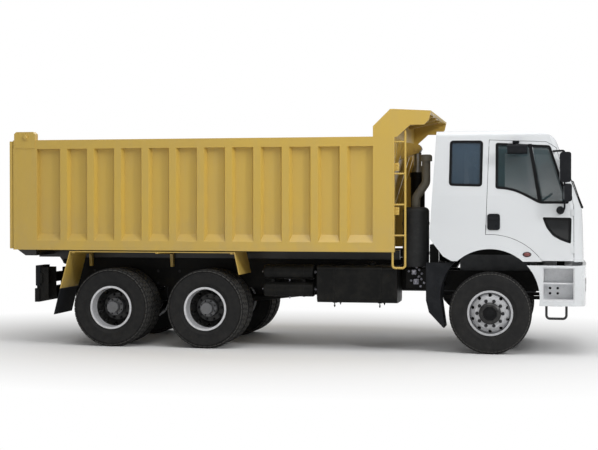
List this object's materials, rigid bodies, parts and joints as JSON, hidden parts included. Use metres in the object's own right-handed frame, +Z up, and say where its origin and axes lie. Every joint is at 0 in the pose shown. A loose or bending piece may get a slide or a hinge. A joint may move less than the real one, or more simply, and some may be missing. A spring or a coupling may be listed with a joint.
{
  "type": "dump truck",
  "caption": "Cab-over rear-tipping dump truck with a ribbed yellow steel body, cab shield, front telescopic hoist, white tilting cab and tandem rear axles.",
  "frame": {"origin": "on the ground under the middle of the whole truck", "axes": "+X forwards, +Y to the truck's left, +Z up"},
  "size_m": [7.92, 2.999, 3.227],
  "materials": {
    "yellow_paint": "semi-gloss",
    "white_paint": "gloss",
    "black_paint": "satin",
    "engine_iron": "matt",
    "black_plastic": "matt",
    "lamp_lens": "clear",
    "red_lens": "gloss",
    "step_aluminium": "satin",
    "hoist_steel": "polished",
    "tinted_glass": "clear",
    "seat_cloth": "woven",
    "tyre": "matt",
    "rim_silver": "satin"
  },
  "bodies": {
    "chassis": {"frame_rails": "black_paint", "cross_members": "black_paint", "subframe_rails": "black_paint", "axles": "black_paint", "leaf_springs": "black_paint", "engine_block": "engine_iron", "prop_shafts": "black_paint", "fuel_tank": "black_paint", "air_tanks": "black_paint", "battery_box": "black_plastic", "air_intake": "black_plastic", "bumper": "white_paint", "headlamps": "lamp_lens", "front_steps": "step_aluminium", "wheel_liners": "black_plastic", "rear_mudguards": "yellow_paint", "rear_guard": "black_paint", "tail_lamps": "red_lens"},
    "hoist_barrel": {"hoist_barrel": "black_paint"},
    "hoist_stage_1": {"hoist_stage_1": "hoist_steel"},
    "hoist_stage_2": {"hoist_stage_2": "hoist_steel"},
    "hoist_stage_3": {"hoist_stage_3": "hoist_steel"},
    "hoist_stage_4": {"hoist_stage_4": "hoist_steel"},
    "bed": {"bed_floor": "yellow_paint", "bed_sides": "yellow_paint", "bed_front_wall": "yellow_paint", "cab_shield": "yellow_paint", "bed_ladder": "yellow_paint"},
    "tailgate": {"tailgate": "yellow_paint"},
    "cab": {"cab_floor": "black_paint", "cab_back": "white_paint", "cab_roof": "white_paint", "cab_sides": "white_paint", "cab_front": "white_paint", "cab_glass": "tinted_glass", "cab_fenders": "white_paint", "grille": "black_plastic", "dashboard": "black_plastic", "seats": "seat_cloth"},
    "door_right": {"door_right": "white_paint", "door_glass_right": "tinted_glass", "door_fittings_right": "black_plastic"},
    "door_left": {"door_left": "white_paint", "door_glass_left": "tinted_glass", "door_fittings_left": "black_plastic"},
    "knuckle_right": {"knuckle_right": "black_paint"},
    "wheel_front_right": {"tyre_front_right": "tyre", "rim_front_right": "rim_silver"},
    "wheel_mid_right": {"tyre_mid_right": "tyre", "rim_mid_right": "rim_silver"},
    "wheel_rear_right": {"tyre_rear_right": "tyre", "rim_rear_right": "rim_silver"},
    "knuckle_left": {"knuckle_left": "black_paint"},
    "wheel_front_left": {"tyre_front_left": "tyre", "rim_front_left": "rim_silver"},
    "wheel_mid_left": {"tyre_mid_left": "tyre", "rim_mid_left": "rim_silver"},
    "wheel_rear_left": {"tyre_rear_left": "tyre", "rim_rear_left": "rim_silver"}
  },
  "joints": [
    {"name": "bed_tilt", "type": "hinge", "parent": "chassis", "child": "bed", "pos_m": [-3.44, 0, 1.15], "axis": [0, -1, 0], "range_deg": [0, 50]},
    {"name": "tailgate_swing", "type": "hinge", "parent": "bed", "child": "tailgate", "pos_m": [-3.719, 0, 2.904], "axis": [0, 1, 0], "range_deg": [0, 70]},
    {"name": "hoist_lean", "type": "hinge", "parent": "chassis", "child": "hoist_barrel", "pos_m": [1.64, 0, 1.19], "axis": [0, -1, 0], "range_deg": [0, 31.93]},
    {"name": "hoist_reach_1", "type": "slide", "parent": "hoist_barrel", "child": "hoist_stage_1", "axis": [0, 0, 1], "range_m": [0, 1.048]},
    {"name": "hoist_reach_2", "type": "slide", "parent": "hoist_stage_1", "child": "hoist_stage_2", "axis": [0, 0, 1], "range_m": [0, 1.048]},
    {"name": "hoist_reach_3", "type": "slide", "parent": "hoist_stage_2", "child": "hoist_stage_3", "axis": [0, 0, 1], "range_m": [0, 1.048]},
    {"name": "hoist_reach_4", "type": "slide", "parent": "hoist_stage_3", "child": "hoist_stage_4", "axis": [0, 0, 1], "range_m": [0, 1.048]},
    {"name": "cab_tilt", "type": "hinge", "parent": "chassis", "child": "cab", "pos_m": [3.81, 0, 0.93], "axis": [0, 1, 0], "range_deg": [0, 50]},
    {"name": "door_swing_right", "type": "hinge", "parent": "cab", "child": "door_right", "pos_m": [3.785, -1.22, 1.6], "axis": [0, 0, 1], "range_deg": [0, 70]},
    {"name": "door_swing_left", "type": "hinge", "parent": "cab", "child": "door_left", "pos_m": [3.785, 1.22, 1.6], "axis": [0, 0, -1], "range_deg": [0, 70]},
    {"name": "steer_right", "type": "hinge", "parent": "chassis", "child": "knuckle_right", "pos_m": [2.71, -0.93, 0.54], "axis": [0, 0, 1], "range_deg": [-38, 38]},
    {"name": "steer_left", "type": "hinge", "parent": "chassis", "child": "knuckle_left", "pos_m": [2.71, 0.93, 0.54], "axis": [0, 0, 1], "range_deg": [-38, 38]},
    {"name": "spin_front_right", "type": "hinge", "parent": "knuckle_right", "child": "wheel_front_right", "pos_m": [2.71, -1.02, 0.54], "axis": [0, 1, 0], "continuous": true},
    {"name": "spin_mid_right", "type": "hinge", "parent": "chassis", "child": "wheel_mid_right", "pos_m": [-1.14, -0.905, 0.54], "axis": [0, 1, 0], "continuous": true},
    {"name": "spin_rear_right", "type": "hinge", "parent": "chassis", "child": "wheel_rear_right", "pos_m": [-2.49, -0.905, 0.54], "axis": [0, 1, 0], "continuous": true},
    {"name": "spin_front_left", "type": "hinge", "parent": "knuckle_left", "child": "wheel_front_left", "pos_m": [2.71, 1.02, 0.54], "axis": [0, 1, 0], "continuous": true},
    {"name": "spin_mid_left", "type": "hinge", "parent": "chassis", "child": "wheel_mid_left", "pos_m": [-1.14, 0.905, 0.54], "axis": [0, 1, 0], "continuous": true},
    {"name": "spin_rear_left", "type": "hinge", "parent": "chassis", "child": "wheel_rear_left", "pos_m": [-2.49, 0.905, 0.54], "axis": [0, 1, 0], "continuous": true}
  ],
  "couplings": [
    {"joint": "hoist_lean", "follows": "bed_tilt", "ratio": 0.63847},
    {"joint": "hoist_reach_1", "follows": "bed_tilt", "m_per_rad": 1.2002},
    {"joint": "hoist_reach_2", "follows": "bed_tilt", "m_per_rad": 1.2002},
    {"joint": "hoist_reach_3", "follows": "bed_tilt", "m_per_rad": 1.2002},
    {"joint": "hoist_reach_4", "follows": "bed_tilt", "m_per_rad": 1.2002},
    {"joint": "steer_left", "follows": "steer_right", "ratio": 1}
  ]
}
